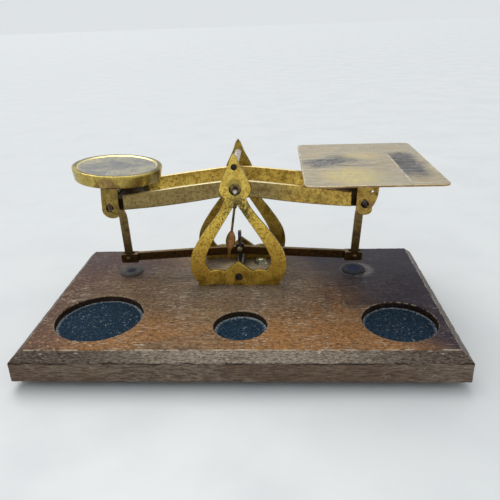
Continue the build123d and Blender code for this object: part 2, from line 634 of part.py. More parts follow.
def main():
    os.makedirs("parts", exist_ok=True)
    save("base_board", base_board())
    for name, (x, y, radius) in WELLS.items():
        save(name, well_felt(x, y, radius))
    save("base_felt", base_felt())
    save("front_stand_plate", stand_plate(FRONT_PLATE_Y))
    save("rear_stand_plate", stand_plate(REAR_PLATE_Y))
    save("top_pillar", pillar(TOP_RIVET_Z, TOP_PILLAR_R, TOP_RIVET_R))
    save("bottom_pillar", bottom_pillar())
    save("stand_screws", stand_screws())
    save("washer_screw", washer_screw())
    save("cup_washer", cup_washer())
    save("stay_post", stay_post())
    save("stay_pin", stay_pin())
    save("front_beam_bar", beam_bar(FRONT_BAR_Y))
    save("rear_beam_bar", beam_bar(REAR_BAR_Y))
    save("centre_knife_edge", centre_knife())
    save("hub_spacer", hub_spacer())
    save("beam_rivets", beam_rivets())
    save("pointer_rod", pointer_rod())
    save("pointer_leaf", pointer_leaf())
    save("weight_pan", weight_pan())
    save("goods_plate", goods_plate())
    save("weight_bracket", bracket(-1, PAN_TOP - PAN_HEIGHT + PAN_HOLLOW, -2.4, 5.3))
    save("goods_bracket", bracket(1, GOODS_TOP - GOODS_THICKNESS, -3.8, 5.7))
    save("stay_strip", stay_strip())
    for side, hand, load in ((-1, "left", "weight"), (1, "right", "goods")):
        save(f"{hand}_buffer_pad", buffer_pad(side))
        save(f"{hand}_end_block", end_block(side))
        save(f"{hand}_knife_edge", end_knife(side))
        save(f"{hand}_fork", fork(side))
        save(f"{hand}_fork_pin", fork_pin(side))
        save(f"{load}_cross_bar", bridge(side))
        save(f"{load}_stem", stem(side))
        save(f"{load}_rivets", pan_rivets(side))


main()
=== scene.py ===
import math
import random

import bmesh
import bpy
import numpy as np
from mathutils import Matrix, Vector, noise


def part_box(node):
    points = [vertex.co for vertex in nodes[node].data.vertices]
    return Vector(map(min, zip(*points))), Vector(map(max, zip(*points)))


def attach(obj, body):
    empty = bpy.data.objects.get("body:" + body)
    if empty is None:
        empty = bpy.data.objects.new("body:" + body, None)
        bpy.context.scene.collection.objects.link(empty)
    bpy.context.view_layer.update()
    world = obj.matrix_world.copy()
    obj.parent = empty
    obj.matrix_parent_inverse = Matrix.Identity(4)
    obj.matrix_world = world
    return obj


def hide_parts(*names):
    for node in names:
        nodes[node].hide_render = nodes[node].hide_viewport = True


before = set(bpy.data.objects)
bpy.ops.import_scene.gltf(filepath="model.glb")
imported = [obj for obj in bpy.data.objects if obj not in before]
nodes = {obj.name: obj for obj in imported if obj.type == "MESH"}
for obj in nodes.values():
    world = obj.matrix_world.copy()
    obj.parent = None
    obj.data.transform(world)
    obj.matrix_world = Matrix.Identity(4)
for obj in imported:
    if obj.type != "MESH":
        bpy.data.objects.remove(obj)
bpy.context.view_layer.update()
MM = 0.001

# ---- the board, read from the frame, and the height of the bevel round its top ----
board_low, board_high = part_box("base_board")
TOP = board_high[2]
UNDERSIDE = board_low[2]
HALF_X = board_high[0]
HALF_Y = board_high[1]
CHAMFER = 4.5 * MM


def centre(node):
    """Middle of a CAD node's box."""
    low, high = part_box(node)
    return Vector([(a + b) / 2 for a, b in zip(low, high)])


def disc(node):
    """A round CAD node's middle in plan, its radius, and the heights of its two faces."""
    low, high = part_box(node)
    return (low[0] + high[0]) / 2, (low[1] + high[1]) / 2, (high[0] - low[0]) / 2, low[2], high[2]


def disc_mm(node):
    """The same middle and radius in millimetres."""
    return [value / MM for value in disc(node)[:3]]


def rgb(r, g, b):
    """An 8-bit display colour as linear RGBA."""
    out = []
    for v in (r, g, b):
        v /= 255
        out.append(v / 12.92 if v <= 0.04045 else ((v + 0.055) / 1.055) ** 2.4)
    return (*out, 1.0)


# ---- node helper ----
class Paint:
    """A material whose pattern lives in the row frame, in metres, or in a frame of its own: an origin and a
    tilt about Y in degrees."""

    def __init__(self, name, own_frame=None):
        self.material = bpy.data.materials.new(name)
        self.material.use_nodes = True
        self.tree = self.material.node_tree
        self.shader = self.tree.nodes["Principled BSDF"]
        coord = self.node("ShaderNodeTexCoord")
        self.place = coord.outputs["Object"]
        self.normal = coord.outputs["Normal"]
        if own_frame is not None:
            origin, tilt = own_frame
            back = Matrix.Rotation(-math.radians(tilt), 3, "Y") @ -origin
            self.place = self.stretch(turn=(0, -tilt, 0), shift=back)
        self.xyz = self.split(self.place)
        self.facing = self.split(self.normal)

    def node(self, kind):
        return self.tree.nodes.new(kind)

    def plug(self, value, socket):
        if isinstance(value, bpy.types.NodeSocket):
            self.tree.links.new(value, socket)
        else:
            socket.default_value = value

    def split(self, vector):
        node = self.node("ShaderNodeSeparateXYZ")
        self.plug(vector, node.inputs[0])
        return node.outputs

    def calc(self, operation, a, b=0.0, c=0.0):
        node = self.node("ShaderNodeMath")
        node.operation = operation
        for value, socket in zip((a, b, c), node.inputs):
            self.plug(value, socket)
        return node.outputs[0]

    def plus(self, a, b):
        return self.calc("ADD", a, b)

    def minus(self, a, b):
        return self.calc("SUBTRACT", a, b)

    def times(self, *values):
        total = values[0]
        for value in values[1:]:
            total = self.calc("MULTIPLY", total, value)
        return total

    def outside(self, mask):
        """The opposite of a mask: 1 where it is 0."""
        return self.minus(1.0, mask)

    def size_of(self, value):
        return self.calc("ABSOLUTE", value)

    def gap(self, a, b):
        """How far apart two values are."""
        return self.size_of(self.minus(a, b))

    def stretch(self, scale=(1, 1, 1), turn=(0, 0, 0), shift=(0, 0, 0)):
        """The place, scaled, turned by degrees about X, Y and Z, and shifted."""
        node = self.node("ShaderNodeMapping")
        self.plug(self.place, node.inputs["Vector"])
        node.inputs["Scale"].default_value = scale
        node.inputs["Rotation"].default_value = [math.radians(a) for a in turn]
        node.inputs["Location"].default_value = shift
        return node.outputs[0]

    def noise(self, size, detail=4.0, rough=0.55, vector=None, warp=0.0):
        """Noise whose blotches are about size millimetres across."""
        node = self.node("ShaderNodeTexNoise")
        self.plug(vector or self.place, node.inputs["Vector"])
        node.inputs["Scale"].default_value = 1000.0 / size
        node.inputs["Detail"].default_value = detail
        node.inputs["Roughness"].default_value = rough
        node.inputs["Distortion"].default_value = warp
        return node.outputs[0]

    def cells(self, size):
        """Distance to the nearest of scattered points about size millimetres apart."""
        node = self.node("ShaderNodeTexVoronoi")
        self.plug(self.place, node.inputs["Vector"])
        node.inputs["Scale"].default_value = 1000.0 / size
        return node.outputs["Distance"]

    def band(self, value, low, high, out_low=0.0, out_high=1.0):
        """Smooth step from low to high, clamped."""
        node = self.node("ShaderNodeMapRange")
        node.interpolation_type = "SMOOTHSTEP"
        self.plug(value, node.inputs[0])
        limits = {"From Min": low, "From Max": high, "To Min": out_low, "To Max": out_high}
        for key, number in limits.items():
            node.inputs[key].default_value = number
        return node.outputs[0]

    def mix(self, factor, a, b, blend="MIX"):
        node = self.node("ShaderNodeMix")
        node.data_type = "RGBA"
        node.blend_type = blend
        self.plug(factor, node.inputs[0])
        self.plug(a, node.inputs[6])
        self.plug(b, node.inputs[7])
        return node.outputs[2]

    def patch(self, across, along, inner, outer):
        """1 where the two offsets in metres lie within a radius, 0 beyond: radii in millimetres."""
        far = self.calc("SQRT", self.plus(self.times(across, across), self.times(along, along)))
        return self.band(far, inner * MM, outer * MM, 1.0, 0.0)

    def spot(self, x, y, inner, outer, squash=1.0):
        """A patch of the plan view round (x, y), all in millimetres."""
        dx = self.minus(self.xyz[0], x * MM)
        dy = self.times(self.minus(self.xyz[1], y * MM), squash)
        return self.patch(dx, dy, inner, outer)

    def front_spot(self, x, z, inner, outer, squash=1.0):
        """A patch of the front view round (x, z) in metres, its radii in millimetres."""
        dx = self.minus(self.xyz[0], x)
        dz = self.times(self.minus(self.xyz[2], z), squash)
        return self.patch(dx, dz, inner, outer)

    def streaks(self, size, ratio, turn, low, high):
        """Sparse thin marks in one direction of the plan view, ratio times as long as wide; the shift gives
        each direction marks of its own."""
        vector = self.stretch((1.0 / ratio, 1.0, 1.0), (0, 0, turn), (turn * 0.013, 0, 0))
        return self.band(self.noise(size, 2.0, 0.5, vector), low, high)

    def bump(self, height, depth):
        """Relief of depth millimetres."""
        node = self.node("ShaderNodeBump")
        node.inputs["Strength"].default_value = 1.0
        node.inputs["Distance"].default_value = depth * MM
        self.plug(height, node.inputs["Height"])
        return node.outputs[0]

    def finish(self, colour, roughness, metallic, relief, **sockets):
        """Wires the shader; sockets are constants, with _ for a space in their names."""
        self.plug(colour, self.shader.inputs["Base Color"])
        self.plug(roughness, self.shader.inputs["Roughness"])
        self.plug(metallic, self.shader.inputs["Metallic"])
        self.plug(relief, self.shader.inputs["Normal"])
        for key, value in sockets.items():
            self.shader.inputs[key.replace("_", " ")].default_value = value
        return self.material


# ---- metals ----
def metal(name, bright, dull, stain, rough, pits, blotch, tarnish, extra=None, depth=0.05, side=None,
          speckle=0.75, edge_light=None, own_frame=None):
    """Old metal: fine speckle of two tones over soft blotches, stained pits and hairline scratches.

    rough is the roughness of the clean and of the dulled parts, pits how strong the pits are, blotch the
    blotches' size in millimetres and tarnish how much of the metal is dull. side is a tone and its share for
    faces turned across Y, patina with painted shade on the edges; edge_light is a painted highlight tone for
    faces turned up. extra(paint, colour) adds what only one part shows."""
    p = Paint(name, own_frame)
    cloud = p.noise(blotch, 5.0, 0.6, warp=0.6)
    dulled = p.band(cloud, 0.66 - tarnish * 0.5, 0.86 - tarnish * 0.5, 0.0, 0.7)
    colour = p.mix(dulled, bright, dull)
    mottle = p.noise(1.7, 8.0, 0.78)
    colour = p.mix(p.band(mottle, 0.46, 0.60, 0.0, speckle), colour, dull)
    light = p.band(p.noise(1.1, 6.0, 0.75, p.stretch(shift=(0.2, 0.1, 0))), 0.54, 0.66)
    colour = p.mix(p.times(light, speckle * 0.7), colour, bright)
    pit = p.band(p.noise(0.85, 3.0, 0.6), 0.58, 0.68)
    sparse = p.band(p.noise(4.0, 3.0, 0.6), 0.44, 0.60)
    pitted = p.times(pit, sparse, pits)
    colour = p.mix(pitted, colour, stain)
    hairlines = p.band(p.noise(0.45, 2.0, 0.5, p.stretch((0.06, 1.0, 0.9), (0, 20, 8))), 0.60, 0.70)
    colour = p.mix(p.times(hairlines, 0.3), colour, bright)
    if side is not None:
        side_tone, share = side
        # faces turned across Y, the plates' edges, take a darker tone: patina with painted shade
        edge_on = p.band(p.size_of(p.facing[1]), 0.35, 0.75, 1.0, 0.0)
        colour = p.mix(p.times(edge_on, share), colour, side_tone)
    if edge_light is not None:
        # painted highlight: faces turned up take the paler edge_light tone
        up = p.band(p.facing[2], 0.45, 0.85)
        colour = p.mix(p.times(up, 0.8), colour, edge_light)
    if extra is not None:
        colour = extra(p, colour)
    clean_rough, dull_rough = rough
    uneven = p.plus(p.band(cloud, 0.35, 0.7, clean_rough, dull_rough), p.times(pitted, 0.25))
    uneven = p.plus(uneven, p.band(mottle, 0.4, 0.65, -0.05, 0.1))
    relief = p.bump(p.minus(p.times(mottle, 0.8), pitted), depth)
    return p.finish(colour, uneven, 1.0, relief)


DARK = rgb(38, 28, 18)
BLACK = rgb(22, 17, 14)


def front_plate_extra(p, colour):
    """Grey-green corroded neck with dark pits, a darker foot, a dirty hole and a painted highlight."""
    hub = centre("centre_knife_edge")
    neck = p.front_spot(hub.x + 1.5 * MM, hub.z - 9 * MM, 3.0, 9.5, 0.8)
    ragged = p.band(p.noise(2.2, 6.0, 0.7), 0.38, 0.54)
    colour = p.mix(p.times(neck, ragged, 0.9), colour, rgb(84, 76, 52))
    spots = p.band(p.noise(0.9, 5.0, 0.7), 0.53, 0.60)
    flanks = p.front_spot(hub.x, hub.z - 14 * MM, 6.0, 18.0)
    colour = p.mix(p.times(neck, spots, 0.95), colour, rgb(34, 28, 18))
    colour = p.mix(p.times(flanks, p.band(p.noise(0.8, 5.0, 0.7), 0.55, 0.61), 0.85), colour, rgb(50, 36, 18))
    whole = p.times(p.band(p.noise(0.7, 4.0, 0.65), 0.57, 0.63), p.band(p.noise(6.0, 3.0), 0.38, 0.52))
    colour = p.mix(p.times(whole, 0.9), colour, rgb(58, 40, 14))
    bright_fleck = p.band(p.noise(0.9, 5.0, 0.75, p.stretch(shift=(0.4, 0, 0.2))), 0.57, 0.64)
    colour = p.mix(p.times(bright_fleck, 0.6), colour, rgb(250, 222, 130))
    low = p.band(p.xyz[2], TOP + 1 * MM, TOP + 14 * MM, 1.0, 0.0)
    colour = p.mix(p.times(low, p.band(p.noise(5.0), 0.4, 0.7), 0.7), colour, rgb(120, 78, 18))
    grime = p.front_spot(hub.x, hub.z + 3.4 * MM, 3.2, 3.9)
    colour = p.mix(p.times(grime, 0.6), colour, rgb(60, 46, 26))
    # painted highlight: a paler patch over the plate's middle
    painted_highlight = p.front_spot(hub.x, TOP + 60 * MM, 3.0, 14.0, 0.7)
    return p.mix(p.times(painted_highlight, 0.35), colour, rgb(214, 190, 104))


def rear_plate_extra(p, colour):
    """Verdigris and brown smears over the darker rear plate."""
    green = p.band(p.noise(4.0, 5.0, 0.6), 0.55, 0.68)
    colour = p.mix(p.times(green, 0.5), colour, rgb(92, 96, 46))
    brown = p.band(p.noise(6.0, 4.0, 0.6, p.stretch((1, 1, 0.6))), 0.55, 0.7)
    return p.mix(p.times(brown, 0.6), colour, rgb(110, 66, 24))


def bar_extra(p, colour):
    """Brighter outer right half, smeared lacquer along the middle of the bar."""
    right = p.band(p.xyz[0], 12 * MM, 34 * MM)
    glow = p.mix(p.band(p.noise(1.6, 6.0, 0.75), 0.44, 0.6), rgb(236, 200, 98), rgb(170, 134, 60))
    colour = p.mix(p.times(right, 0.8), colour, glow)
    streaky = p.band(p.noise(9.0, 4.0, 0.6, p.stretch((0.35, 1, 1))), 0.5, 0.68)
    return p.mix(p.times(streaky, 0.6), colour, rgb(98, 80, 48))


def goods_strap_extra(p, colour):
    """Pinkish worn patches."""
    pink = p.band(p.noise(4.2, 4.0, 0.6), 0.52, 0.66)
    return p.mix(p.times(pink, 0.6), colour, rgb(176, 134, 96))


def stem_extra(p, colour):
    """Worn streaks down the stem and a darker foot."""
    worn = p.band(p.noise(1.6, 3.0, 0.5, p.stretch((1.0, 1.0, 0.12))), 0.5, 0.7)
    colour = p.mix(p.times(worn, 0.5), colour, rgb(128, 106, 58))
    foot = p.band(p.xyz[2], TOP + 12 * MM, TOP + 24 * MM, 1.0, 0.0)
    return p.mix(p.times(foot, 0.55), colour, rgb(44, 32, 18))


def leaf_extra(p, colour):
    """Olive brass rim round the copper middle."""
    leaf = centre("pointer_leaf")
    lean = 0.155
    off_axis = p.minus(p.minus(p.xyz[0], leaf.x), p.times(p.minus(p.xyz[2], leaf.z), lean))
    off = p.plus(p.size_of(off_axis), p.times(p.minus(p.noise(1.4, 4.0, 0.6), 0.5), 1.2 * MM))
    rim = p.band(off, 1.0 * MM, 1.8 * MM)
    colour = p.mix(p.times(rim, 0.85), colour, rgb(122, 106, 52))
    point = p.band(p.xyz[2], leaf.z - 3 * MM, leaf.z + 0.5 * MM, 1.0, 0.0)
    return p.mix(p.times(point, 0.7), colour, rgb(116, 98, 50))


def pan_extra(p, colour):
    """Tarnished recess floor inside a bright bead, and a wall with patches and a painted dark reflection at
    its front; the pan's own axis is the local Z.
    """
    top_face = p.band(p.xyz[2], PAN_FLOOR - 0.2 * MM, PAN_FLOOR - 0.06 * MM)
    floor = p.times(p.spot(0, 0, 19.4, 19.9), top_face)
    cloud = p.band(p.noise(9.0, 6.0, 0.66, warp=0.8), 0.38, 0.62)
    tarnish = p.mix(cloud, rgb(130, 130, 132), rgb(166, 160, 140))
    middle = p.times(p.spot(-2, 2, 3.0, 15.0, 1.3), p.band(p.noise(5.0, 5.0, 0.65), 0.36, 0.60))
    tarnish = p.mix(p.times(middle, 0.75), tarnish, rgb(98, 101, 112))
    fleck = p.band(p.noise(0.9, 5.0, 0.7), 0.54, 0.62)
    tarnish = p.mix(p.times(fleck, 0.55), tarnish, rgb(92, 88, 80))
    bright_fleck = p.times(p.spot(2, -13, 1.0, 8.0, 2.2), p.band(p.noise(1.1, 4.0, 0.7), 0.52, 0.58))
    tarnish = p.mix(p.times(bright_fleck, 0.9), tarnish, rgb(236, 230, 196))
    colour = p.mix(p.times(floor, 0.95), colour, tarnish)
    ring = p.times(p.outside(p.spot(0, 0, 20.2, 20.6)), top_face, p.band(p.noise(6.0, 4.0), 0.25, 0.5))
    colour = p.mix(p.times(ring, p.spot(0, 0, 22.2, 22.6), 0.85), colour, rgb(96, 92, 72))
    bead = p.times(p.outside(p.spot(0, 0, 19.7, 19.95)), p.spot(0, 0, 20.25, 20.5), top_face)
    colour = p.mix(p.times(bead, 0.85), colour, rgb(244, 232, 180))
    wall = p.band(p.xyz[2], PAN_HALF - 1.0 * MM, PAN_HALF - 1.6 * MM)
    # painted reflection: the dark brown patch at the front of the wall
    streaky = p.band(p.noise(5.5, 5.0, 0.65, p.stretch((1, 1, 0.6))), 0.44, 0.60)
    front = p.spot(0, -23, 3.0, 13.0)
    colour = p.mix(p.times(wall, streaky, front, 0.85), colour, rgb(104, 72, 36))
    pink = p.spot(1, -23, 1.0, 5.0)
    colour = p.mix(p.times(wall, pink, 0.45), colour, rgb(176, 140, 100))
    left = p.spot(-21, -10, 3.0, 13.0)
    patchy = p.band(p.noise(2.0, 5.0, 0.7), 0.4, 0.6)
    colour = p.mix(p.times(wall, left, patchy, 0.7), colour, rgb(122, 112, 48))
    right = p.spot(22.5, -6, 1.5, 6.0)
    return p.mix(p.times(right, 0.7), colour, rgb(88, 80, 52))


def goods_extra(p, colour):
    """Blue-grey tarnish in two patches, one ending along a scratch, over brushed dull brass."""
    top_face = p.band(p.facing[2], 0.6, 0.9)
    ragged = p.noise(6.0, 7.0, 0.7, warp=1.0)
    grainy = p.noise(1.3, 6.0, 0.75, p.stretch((0.4, 1, 1)))
    drift = p.times(p.minus(ragged, 0.5), 12 * MM)
    x = p.plus(p.xyz[0], drift)
    y = p.plus(p.xyz[1], p.times(drift, 1.4))
    beige = p.band(grainy, 0.40, 0.60)
    colour = p.mix(p.times(beige, top_face, 0.7), colour, rgb(154, 140, 112))

    # the left patch, longer along a line turned from X by an angle of this cosine and sine
    turn_cos, turn_sin = 0.85, 0.52
    from_x, from_y = p.minus(x, 46 * MM), p.minus(y, 26 * MM)
    along = p.plus(p.times(from_x, turn_cos), p.times(from_y, turn_sin))
    across = p.minus(p.times(from_y, turn_cos), p.times(from_x, turn_sin))
    long = p.band(p.size_of(along), 9 * MM, 19 * MM, 1.0, 0.0)
    wide = p.band(p.size_of(across), 3 * MM, 12 * MM, 1.0, 0.0)
    left = p.times(long, wide, p.band(grainy, 0.32, 0.60, 0.45, 1.0))
    colour = p.mix(p.times(left, top_face, 0.98), colour, rgb(44, 47, 68))
    dots = p.times(p.band(p.cells(1.5), 0.30, 0.18), p.spot(41, 25, 6.0, 14.0))
    colour = p.mix(p.times(dots, top_face, 0.7), colour, rgb(206, 200, 184))

    # the right patch, cut off on its left by the scratch
    scratch_x, scratch_back, scratch_lean = 77.7 * MM, 36 * MM, -0.01
    scratch = p.plus(p.times(p.minus(p.xyz[1], scratch_back), scratch_lean), scratch_x)
    off_scratch = p.minus(p.xyz[0], scratch)
    past = p.band(p.plus(off_scratch, p.times(drift, 0.12)), -0.4 * MM, 0.9 * MM)
    before = p.band(x, 87 * MM, 92.5 * MM, 1.0, 0.0)
    deep = p.times(p.band(y, -12 * MM, 4 * MM), p.band(y, 36 * MM, 45 * MM, 1.0, 0.0))
    right = p.times(past, before, deep, p.band(grainy, 0.30, 0.60, 0.7, 1.0))
    colour = p.mix(p.times(right, top_face), colour, rgb(40, 38, 52))
    line = p.times(p.band(p.size_of(off_scratch), 0.15 * MM, 0.55 * MM, 1.0, 0.0),
                   p.band(p.xyz[1], -14 * MM, -10 * MM), p.band(p.xyz[1], 35 * MM, 38 * MM, 1.0, 0.0),
                   p.band(p.noise(5.0), 0.35, 0.5))
    colour = p.mix(p.times(line, top_face, 0.7), colour, rgb(226, 216, 188))

    # painted shade along a shallow crease between the patches, a mark, and the places rubbed brighter
    wavy = p.minus(p.plus(p.xyz[1], p.times(drift, 0.15)), 17 * MM)
    crease_shade = p.times(p.band(p.size_of(wavy), 0.3 * MM, 1.6 * MM, 1.0, 0.0),
                     p.band(p.xyz[0], 46 * MM, 52 * MM), p.band(p.xyz[0], 64 * MM, 72 * MM, 1.0, 0.0))
    # painted shade along the crease
    colour = p.mix(p.times(crease_shade, top_face, 0.75), colour, rgb(98, 94, 92))
    mark = p.times(p.spot(61, 7, 0.6, 2.6, 2.4), top_face)
    colour = p.mix(p.times(mark, 0.5), colour, rgb(120, 112, 92))
    gold = p.times(p.spot(54, -3, 5.0, 20.0), p.band(grainy, 0.34, 0.58, 0.45, 1.0))
    dapple = p.band(p.noise(1.2, 6.0, 0.8), 0.40, 0.60, 0.35, 1.0)
    colour = p.mix(p.times(gold, top_face, dapple), colour, rgb(222, 202, 116))
    warm = p.times(p.spot(62, 36, 4.0, 16.0, 1.5), p.band(grainy, 0.36, 0.6))
    colour = p.mix(p.times(warm, top_face, 0.6), colour, rgb(224, 202, 132))
    rose = p.times(p.spot(86, -13, 2.0, 14.0, 1.6), p.band(grainy, 0.42, 0.62))
    colour = p.mix(p.times(rose, top_face, 0.6), colour, rgb(168, 142, 112))
    for turn, ratio, size in ((4, 40, 0.8), (-7, 44, 0.7), (12, 36, 0.9), (-28, 30, 0.6), (70, 34, 0.6)):
        marks = p.streaks(size, ratio, turn, 0.64, 0.70)
        colour = p.mix(p.times(marks, top_face, 0.5), colour, rgb(224, 214, 184))

    # worn edges, chipped at the right, and coppery sides
    plate = centre("goods_plate")
    low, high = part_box("goods_plate")
    out_x = p.minus((high[0] - low[0]) / 2, p.gap(p.xyz[0], plate.x))
    out_y = p.minus((high[1] - low[1]) / 2, p.gap(p.xyz[1], plate.y))
    inset = p.calc("MINIMUM", out_x, out_y)
    worn = p.times(p.band(inset, 0.2 * MM, 1.1 * MM, 1.0, 0.0), p.band(p.noise(3.0, 5.0, 0.7), 0.42, 0.58))
    colour = p.mix(p.times(worn, top_face, 0.7), colour, rgb(228, 214, 176))
    chips = p.times(p.spot(91.5, 10, 3.0, 12.0), p.band(out_x, 0.8 * MM, 2.4 * MM, 1.0, 0.0),
                    p.band(p.noise(1.6, 4.0, 0.7), 0.50, 0.56))
    colour = p.mix(p.times(chips, top_face, 0.9), colour, rgb(240, 230, 200))
    coppery = p.mix(p.band(p.noise(4.0), 0.4, 0.6), rgb(134, 92, 58), rgb(176, 146, 96))
    return p.mix(p.times(p.outside(top_face), 0.85), colour, coppery)


def hub_extra(p, colour):
    """A painted highlight where the knife's end meets its seat."""
    hub = centre("centre_knife_edge")
    # painted highlight: a bright star on the knife's end in its seat
    painted_glint = p.times(p.front_spot(hub.x, hub.z, 0.5, 1.7), p.band(p.noise(0.9, 3.0, 0.6), 0.40, 0.50))
    return p.mix(p.times(painted_glint, 0.95), colour, rgb(226, 220, 208))


def pillar_extra(p, colour):
    """Bright metal between the plates; only the riveted ends are black."""
    low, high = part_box("front_stand_plate")[1][1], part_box("rear_stand_plate")[0][1]
    inside = p.times(p.band(p.xyz[1], low, low + 0.1 * MM), p.band(p.xyz[1], high - 0.1 * MM, high, 1.0, 0.0))
    bright = p.mix(p.band(p.noise(2.0), 0.4, 0.62), rgb(214, 208, 198), rgb(150, 140, 122))
    return p.mix(inside, colour, bright)


# ---- the weight pan leans about its middle, inner side low; half its height, and its floor above that ----
PAN_TILT = 4.3
PAN_HALF = 3.25 * MM
PAN_FLOOR = PAN_HALF - 0.56 * MM
PAN_AT = centre("weight_pan") - Vector((math.sin(math.radians(PAN_TILT)) * PAN_HALF, 0, 0))

GOLD = rgb(244, 210, 96)
GOLD_DULL = rgb(184, 136, 42)
# a painted highlight tone for metal faces turned up
TOP_HIGHLIGHT_TONE = rgb(236, 222, 176)
FINISHES = {}


def finish(name, *tones, **looks):
    """Makes a metal and files it under its name."""
    FINISHES[name] = metal(name, *tones, **looks)


finish("front_plate_brass", GOLD, GOLD_DULL, DARK, (0.34, 0.52), 0.8, 9.0, 0.25, front_plate_extra,
       side=(rgb(74, 54, 24), 0.8))
finish("rear_plate_brass", rgb(190, 162, 76), rgb(130, 104, 40), DARK, (0.4, 0.6), 0.6, 7.0, 0.4,
       rear_plate_extra, side=(rgb(70, 52, 24), 0.7))
finish("front_bar_brass", rgb(158, 138, 88), rgb(110, 92, 58), DARK, (0.36, 0.56), 0.6, 12.0, 0.25, bar_extra,
       edge_light=TOP_HIGHLIGHT_TONE)
finish("rear_bar_brass", rgb(248, 212, 104), rgb(166, 130, 52), DARK, (0.36, 0.55), 0.8, 9.0, 0.3,
       edge_light=TOP_HIGHLIGHT_TONE)
finish("weight_strap_brass", rgb(160, 136, 72), rgb(100, 82, 40), DARK, (0.36, 0.56), 0.6, 6.0, 0.35,
       edge_light=TOP_HIGHLIGHT_TONE)
finish("goods_strap_brass", rgb(184, 152, 76), rgb(112, 86, 38), DARK, (0.34, 0.52), 0.7, 5.0, 0.3,
       goods_strap_extra, edge_light=TOP_HIGHLIGHT_TONE)
finish("pan_brass", rgb(200, 178, 96), rgb(142, 120, 52), rgb(90, 66, 34), (0.24, 0.40), 0.4, 9.0, 0.3,
       pan_extra, depth=0.03, speckle=0.5, own_frame=(PAN_AT, PAN_TILT))
finish("goods_plate_brass", rgb(190, 176, 148), rgb(154, 142, 122), rgb(96, 88, 78), (0.30, 0.46), 0.3, 16.0,
       0.3, goods_extra, depth=0.02, speckle=0.5)
finish("stem_bronze", rgb(140, 118, 76), rgb(88, 68, 40), BLACK, (0.36, 0.56), 0.6, 6.0, 0.4, stem_extra,
       edge_light=rgb(170, 150, 100))
finish("dark_bronze", rgb(84, 62, 36), rgb(44, 31, 18), BLACK, (0.4, 0.62), 0.6, 6.0, 0.4,
       edge_light=rgb(120, 100, 66))
# near-black for the end blocks and bracket rivets: blackened metal, with painted shade where the blocks sit
# under the pans
finish("block_bronze", rgb(58, 44, 26), rgb(34, 26, 18), BLACK, (0.45, 0.65), 0.6, 4.0, 0.5,
       edge_light=rgb(90, 76, 52))
finish("dark_steel", rgb(92, 84, 80), rgb(48, 42, 40), rgb(60, 38, 26), (0.32, 0.56), 0.6, 3.0, 0.5)
finish("rusty_steel", rgb(110, 84, 72), rgb(58, 40, 32), rgb(60, 34, 20), (0.45, 0.65), 0.6, 2.5, 0.5)
finish("pale_steel", rgb(206, 202, 190), rgb(132, 126, 112), rgb(70, 60, 46), (0.28, 0.48), 0.5, 3.0, 0.4)
finish("pillar_steel", rgb(66, 56, 56), rgb(38, 32, 34), BLACK, (0.4, 0.6), 0.6, 2.0, 0.5, pillar_extra)
finish("hub_steel", rgb(92, 76, 70), rgb(44, 36, 34), rgb(40, 24, 18), (0.34, 0.56), 0.6, 3.0, 0.5, hub_extra)
finish("grey_washer", rgb(168, 166, 140), rgb(112, 110, 90), rgb(62, 60, 46), (0.36, 0.56), 0.6, 2.5, 0.45)
finish("leaf_copper", rgb(206, 150, 104), rgb(150, 106, 64), rgb(60, 46, 26), (0.34, 0.52), 0.4, 3.0, 0.35,
       leaf_extra)

WEARERS = {
    "front_plate_brass": ("front_stand_plate",),
    "rear_plate_brass": ("rear_stand_plate",),
    "pillar_steel": ("top_pillar",),
    "dark_steel": ("bottom_pillar", "stand_screws", "stay_post", "right_knife_edge"),
    "grey_washer": ("washer_screw", "cup_washer", "stay_pin"),
    "front_bar_brass": ("front_beam_bar", "beam_rivets"),
    "rear_bar_brass": ("rear_beam_bar",),
    "hub_steel": ("centre_knife_edge",),
    "pale_steel": ("hub_spacer",),
    "stem_bronze": ("pointer_rod", "weight_stem", "goods_stem", "left_fork_pin", "right_fork_pin"),
    "leaf_copper": ("pointer_leaf",),
    "block_bronze": ("left_end_block", "right_end_block", "weight_rivets", "goods_rivets"),
    "rusty_steel": ("left_knife_edge",),
    "pan_brass": ("weight_pan",),
    "weight_strap_brass": ("weight_bracket", "weight_cross_bar"),
    "goods_plate_brass": ("goods_plate",),
    "goods_strap_brass": ("goods_bracket", "goods_cross_bar"),
    "dark_bronze": ("stay_strip", "left_fork", "right_fork"),
}


def dress(obj, material):
    """Gives an object one material."""
    obj.data.materials.clear()
    obj.data.materials.append(material)
    for polygon in obj.data.polygons:
        polygon.material_index = 0


for finish_name, wearers in WEARERS.items():
    for node_name in wearers:
        dress(nodes[node_name], FINISHES[finish_name])


# ---- wood and felt ----
WELLS = ("left_well_felt", "centre_well_felt", "right_well_felt")


